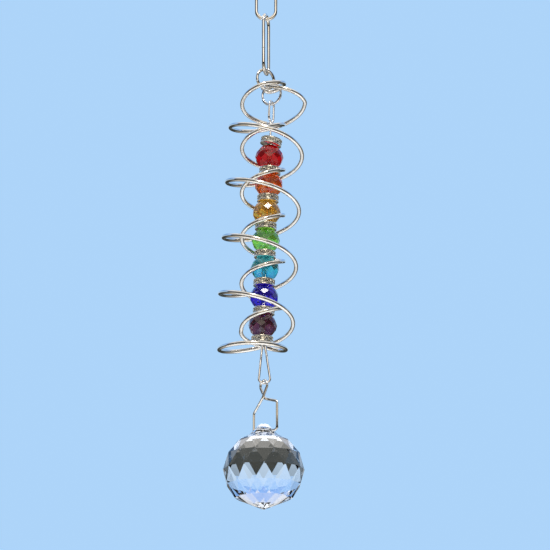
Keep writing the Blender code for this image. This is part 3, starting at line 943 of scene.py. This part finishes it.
rings = []
for index, (radius, height) in enumerate(bead_profile()):
    rings.append((radius, height, index % 2))
    if index:
        rings.append((radius, -height, index % 2))
bead = hull_of_rings(rings, BEAD_SIDES)
end_width = bead_profile()[-1][0] - BEAD_BORE / 2
bpy.ops.object.mode_set(mode="EDIT")
pick_faces(lambda middle, normal: abs(normal.z) > LEVEL)
bpy.ops.mesh.inset(thickness=end_width * math.cos(math.pi / BEAD_SIDES), depth=0)
bpy.ops.mesh.bridge_edge_loops()
bpy.ops.object.mode_set(mode="OBJECT")
print("facets of a bead:", len(bead.data.polygons))
apply_bevel(bead, BEAD_EDGE, 2, FACET_EDGE_ANGLE)

for index, name in enumerate(BEAD_NAMES):
    select_only(bead)
    bpy.ops.object.duplicate(linked=False)
    own = bpy.context.object
    place = Matrix.Translation((BEAD_PLAY[index] * MM, 0, stack_height(index, True)))
    set_in_place(own, string_frame @ place @ Matrix.Rotation(BEAD_TURN * index, 4, "Z"))
    finish_piece(own, "cut_bead_" + name, bead_glass[name], "glass_" + name, "bead_" + name)
bpy.data.objects.remove(bead)

# %% [markdown]
# ## Jewelled spacers
#
# Between the beads sit little drums: two metal rims, a narrower waist, and a row of cut
# stones held between the rims by small claws. The rims and the waist start as one cylinder:
# two cuts part its side in three bands, and the middle band is drawn in to make the waist.
# Each stone is a small cone cut off at the top, so it has a table and slanting facets.

# %% Rims, waist and claws
SPACER_RADIUS = 4.1 * MM
SPACER_RIM = 0.55 * MM
SPACER_WAIST = 3.3 * MM
SPACER_BORE = 2.4 * MM
SPACER_SIDES = 48
STONES = 12
SPACER_EDGE = 0.12 * MM
SPACER_EDGE_ANGLE = 40
SMOOTH_DRUM = math.radians(35)
CLAW_RADIUS = 0.24 * MM
CLAW_PLACE = 0.93
CLAW_SHAPE = (1, 0.8, 2.4)
CLAW_SIDES = 8
CLAW_RINGS = 6
FIRST_SPACER_TILT = math.radians(10)
SPACER_TURN_DEGREES = 7
# How far each spacer sits to one side on the wire, in millimetres.
SPACER_PLAY = (0.4, 0.3, 0.0, -0.4, -0.3, -0.2, 0.1, -0.1)

half = SPACER_HEIGHT / 2
seat = half - SPACER_RIM
end_from = half * 0.99
select_only()
bpy.ops.mesh.primitive_cylinder_add(
    vertices=SPACER_SIDES, radius=SPACER_RADIUS, depth=SPACER_HEIGHT
)
drum = bpy.context.object
bpy.ops.object.mode_set(mode="EDIT")
for height in (-seat, seat):
    bpy.ops.mesh.select_all(action="SELECT")
    bpy.ops.mesh.bisect(plane_co=(0, 0, height), plane_no=(0, 0, 1))
pick_faces(lambda middle, normal: abs(middle.z) < seat / 2 and abs(normal.z) < 1 - LEVEL)
bpy.ops.mesh.extrude_region_move(TRANSFORM_OT_translate={"value": (0, 0, 0)})
share = SPACER_WAIST / SPACER_RADIUS
bpy.ops.transform.resize(value=(share, share, 1), center_override=(0, 0, 0))
pick_faces(lambda middle, normal: abs(middle.z) > end_from)
bpy.ops.mesh.inset(thickness=SPACER_RADIUS - SPACER_BORE / 2, depth=0)
bpy.ops.mesh.bridge_edge_loops()
bpy.ops.object.mode_set(mode="OBJECT")
apply_bevel(drum, SPACER_EDGE, 3, SPACER_EDGE_ANGLE)

select_only()
bpy.ops.mesh.primitive_uv_sphere_add(
    segments=CLAW_SIDES,
    ring_count=CLAW_RINGS,
    radius=CLAW_RADIUS,
    location=(SPACER_RADIUS * CLAW_PLACE, 0, 0),
)
bpy.ops.object.transform_apply(location=True)
claw = bpy.context.object
claw.scale = CLAW_SHAPE
bpy.ops.object.transform_apply(scale=True)
claws = [claw]
for index in range(1, STONES):
    select_only(claw)
    bpy.ops.object.duplicate(linked=False)
    turned = bpy.context.object
    turned.rotation_euler.z = 2 * math.pi * index / STONES
    bpy.ops.object.transform_apply(rotation=True)
    claws.append(turned)
select_only(drum)
for one in claws:
    one.select_set(True)
bpy.ops.object.join()
bpy.ops.object.shade_smooth_by_angle(angle=SMOOTH_DRUM)
print("faces of a drum:", len(drum.data.polygons))

# %% A row of stones
STONE_RADIUS = 0.78 * MM
STONE_DEPTH = 0.62 * MM
STONE_SIDES = 8
STONE_CROWN = STONE_DEPTH * 0.5
STONE_TABLE = 0.55
STONE_POINT = 0.35
STONE_FACE = SPACER_RADIUS * 0.99

select_only()
bpy.ops.mesh.primitive_cylinder_add(
    vertices=STONE_SIDES, radius=STONE_RADIUS, depth=STONE_DEPTH
)
stone = bpy.context.object
bpy.ops.object.mode_set(mode="EDIT")
pick_faces(lambda middle, normal: normal.z > LEVEL)
bpy.ops.mesh.extrude_region_move(TRANSFORM_OT_translate={"value": (0, 0, STONE_CROWN)})
bpy.ops.transform.resize(value=(STONE_TABLE, STONE_TABLE, 1))
pick_faces(lambda middle, normal: normal.z < -LEVEL)
bpy.ops.transform.resize(value=(STONE_POINT, STONE_POINT, 1))
bpy.ops.object.mode_set(mode="OBJECT")
quarter = Matrix.Rotation(math.pi / 2, 4, "Y")
set_in_place(stone, Matrix.Translation((STONE_FACE - STONE_DEPTH, 0, 0)) @ quarter)
stones = []
for index in range(STONES):
    select_only(stone)
    bpy.ops.object.duplicate(linked=False)
    turned = bpy.context.object
    turned.rotation_euler.z = 2 * math.pi * (index + 0.5) / STONES
    bpy.ops.object.transform_apply(rotation=True)
    stones.append(turned)
bpy.data.objects.remove(stone)
select_only(stones[0])
for one in stones:
    one.select_set(True)
bpy.ops.object.join()
row = stones[0]
print("faces of a row of stones:", len(row.data.polygons))

# %% Spacer finishes
pale_metal = metal("pale_gold", (0.92, 0.88, 0.78), (0.74, 0.68, 0.56), (0.06, 0.2), 21.0)
brilliant = glass("brilliant", (1.0, 1.0, 0.98), (0.95, 0.94, 0.90), 41.0, CLEAR_RIPPLE)
print("spacer finishes:", pale_metal.name, brilliant.name)

# %% Eight spacers
for index, play in enumerate(SPACER_PLAY):
    place = Matrix.Translation((play * MM, 0, stack_height(index, False)))
    if index == 0:
        rise = SPACER_RADIUS * math.sin(FIRST_SPACER_TILT)
        place = Matrix.Translation((0, 0, rise)) @ place
        place = place @ Matrix.Rotation(FIRST_SPACER_TILT, 4, "Y")
    place = string_frame @ place @ Matrix.Rotation(math.radians(SPACER_TURN_DEGREES * index), 4, "Z")
    node = f"spacer_{index + 1}"
    for model, name, finish, slot, nodes in (
        (drum, f"spacer_drum_{index + 1}", pale_metal, "spacer_metal", [node]),
        (row, f"spacer_stones_{index + 1}", brilliant, "clear_crystal", []),
    ):
        select_only(model)
        bpy.ops.object.duplicate(linked=False)
        own = bpy.context.object
        set_in_place(own, place)
        finish_piece(own, name, finish, slot, *nodes)
bpy.data.objects.remove(drum)
bpy.data.objects.remove(row)

# %% [markdown]
# ## Cut ball
#
# The ball has rows of triangles, with their corners on one sphere but for the upper rows,
# which draw in a little. On top is a short lug that is drilled for the pin. Circles of corners
# and a convex hull give the facets. The flat top is then extruded and drawn in to the small
# head of the lug, and a cylinder cuts the hole.

# %% Ball piece
BALL_RADIUS = 15.0 * MM
BALL_SIDES = 12
BALL_TURN = math.radians(1.9)
BALL_SHIFT = -0.7 * MM
ROW_ANGLE = math.radians(22.5)
# The upper rows of corners draw in a little towards the lug.
UPPER_WIDTHS = {2: 0.92, 1: 0.975}
# The neck and the steps of the lug are each a radius and a height.
NECK = (5.2 * MM, 13.0 * MM)
LUG_STEPS = (
    (1.75 * MM, 16.74 * MM),
    (1.4 * MM, 16.9 * MM),
)
BALL_POINT = 0.02 * MM
BALL_EDGE = 0.06 * MM
BALL_EDGE_ANGLE = 6
HOLE_HEIGHT = 14.2 * MM
HOLE_WIDTH = 1.8 * MM
HOLE_SIDES = 24
PIN_TURN = math.radians(-40)

ball_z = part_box("crystal_ball")[0].z + BALL_RADIUS
ball_place = Matrix.Translation((BALL_SHIFT, 0, ball_z))
rings = [(*NECK, 1)]
for level in (2, 1, 0, -1, -2):
    angle = level * ROW_ANGLE
    radius = BALL_RADIUS * math.cos(angle) * UPPER_WIDTHS.get(level, 1)
    rings.append((radius, BALL_RADIUS * math.sin(angle), level % 2))
rings.append((BALL_POINT, -BALL_RADIUS, 0))
ball = hull_of_rings(rings, BALL_SIDES)
bpy.ops.object.mode_set(mode="EDIT")
pick_faces(lambda middle, normal: normal.z > LEVEL and middle.z > 0)
before = NECK
for radius, height in LUG_STEPS:
    share = radius / before[0]
    bpy.ops.mesh.extrude_region_move(
        TRANSFORM_OT_translate={"value": (0, 0, height - before[1])}
    )
    bpy.ops.transform.resize(value=(share, share, 1), center_override=(0, 0, height))
    before = (radius, height)
bpy.ops.object.mode_set(mode="OBJECT")
print("facets of the ball:", len(ball.data.polygons))
apply_bevel(ball, BALL_EDGE, 2, BALL_EDGE_ANGLE)

select_only()
bpy.ops.mesh.primitive_cylinder_add(
    vertices=HOLE_SIDES,
    radius=HOLE_WIDTH / 2,
    depth=2 * BALL_RADIUS,
    location=(0, 0, HOLE_HEIGHT),
    rotation=(0, math.pi / 2, PIN_TURN),
)
drill = bpy.context.object
cut = ball.modifiers.new("hole", "BOOLEAN")
cut.operation = "DIFFERENCE"
cut.solver = "EXACT"
cut.object = drill
select_only(ball)
bpy.ops.object.modifier_apply(modifier=cut.name)
bpy.data.objects.remove(drill)
set_in_place(ball, ball_place @ Matrix.Rotation(BALL_TURN, 4, "Z"))
finish_piece(ball, "cut_crystal_ball", clear, "clear_crystal", "crystal_ball")

# %% [markdown]
# ## Bow-tie pin
#
# A springy wire clips into the lug from both sides, crosses over itself above it and closes
# in a small loop that hangs in the drop loop. It is drawn flat as a run of straight pieces
# with rounded corners, and then turned to lie along the hole.

# %% Pin piece
PIN_WIRE = 1.0 * MM
PIN_GAP = 0.4 * MM
PIN_HEIGHT = 19.35 * MM
PIN_LEFT = 4.8 * MM
PIN_LEFT_KNEE = 7.5 * MM
PIN_RIGHT = 6.4 * MM
PIN_RIGHT_CORNER = 10.7 * MM
PIN_CROSSING = 12.6 * MM
PIN_LOOP_WIDTH = 5.3 * MM
PIN_TIP = 1.3 * MM
PIN_BEND = 1.2 * MM

loop_half = (PIN_LOOP_WIDTH - PIN_WIRE) / 2
aside = (PIN_WIRE + PIN_GAP) / 2
over = arc((0, 0, PIN_HEIGHT - loop_half), loop_half, 0, math.pi, LOOP_STEPS)
for index, point in enumerate(over):
    point.y = -aside + 2 * aside * index / (len(over) - 1)
rise = bent(
    [
        (-PIN_TIP, 0, 0),
        (-PIN_LEFT, 0, 0),
        (-PIN_LEFT, 0, PIN_LEFT_KNEE),
        (0, -aside, PIN_CROSSING),
        (loop_half, -aside, PIN_CROSSING + 2 * loop_half),
        over[0],
    ],
    PIN_BEND,
)
fall = bent(
    [
        over[-1],
        (-loop_half, aside, PIN_CROSSING + 2 * loop_half),
        (0, aside, PIN_CROSSING),
        (PIN_RIGHT, 0, PIN_RIGHT_CORNER),
        (PIN_RIGHT, 0, 0),
        (PIN_TIP, 0, 0),
    ],
    PIN_BEND,
)
pin = wire_along(rise[:-1] + over + fall[1:], PIN_WIRE, False, FINE_ROUNDING)
hole_place = ball_place @ Matrix.Translation((0, 0, HOLE_HEIGHT))
set_in_place(pin, hole_place @ Matrix.Rotation(PIN_TURN, 4, "Z"))
finish_piece(pin, "polished_pin", steel, "polished_steel", "bow_tie_pin")
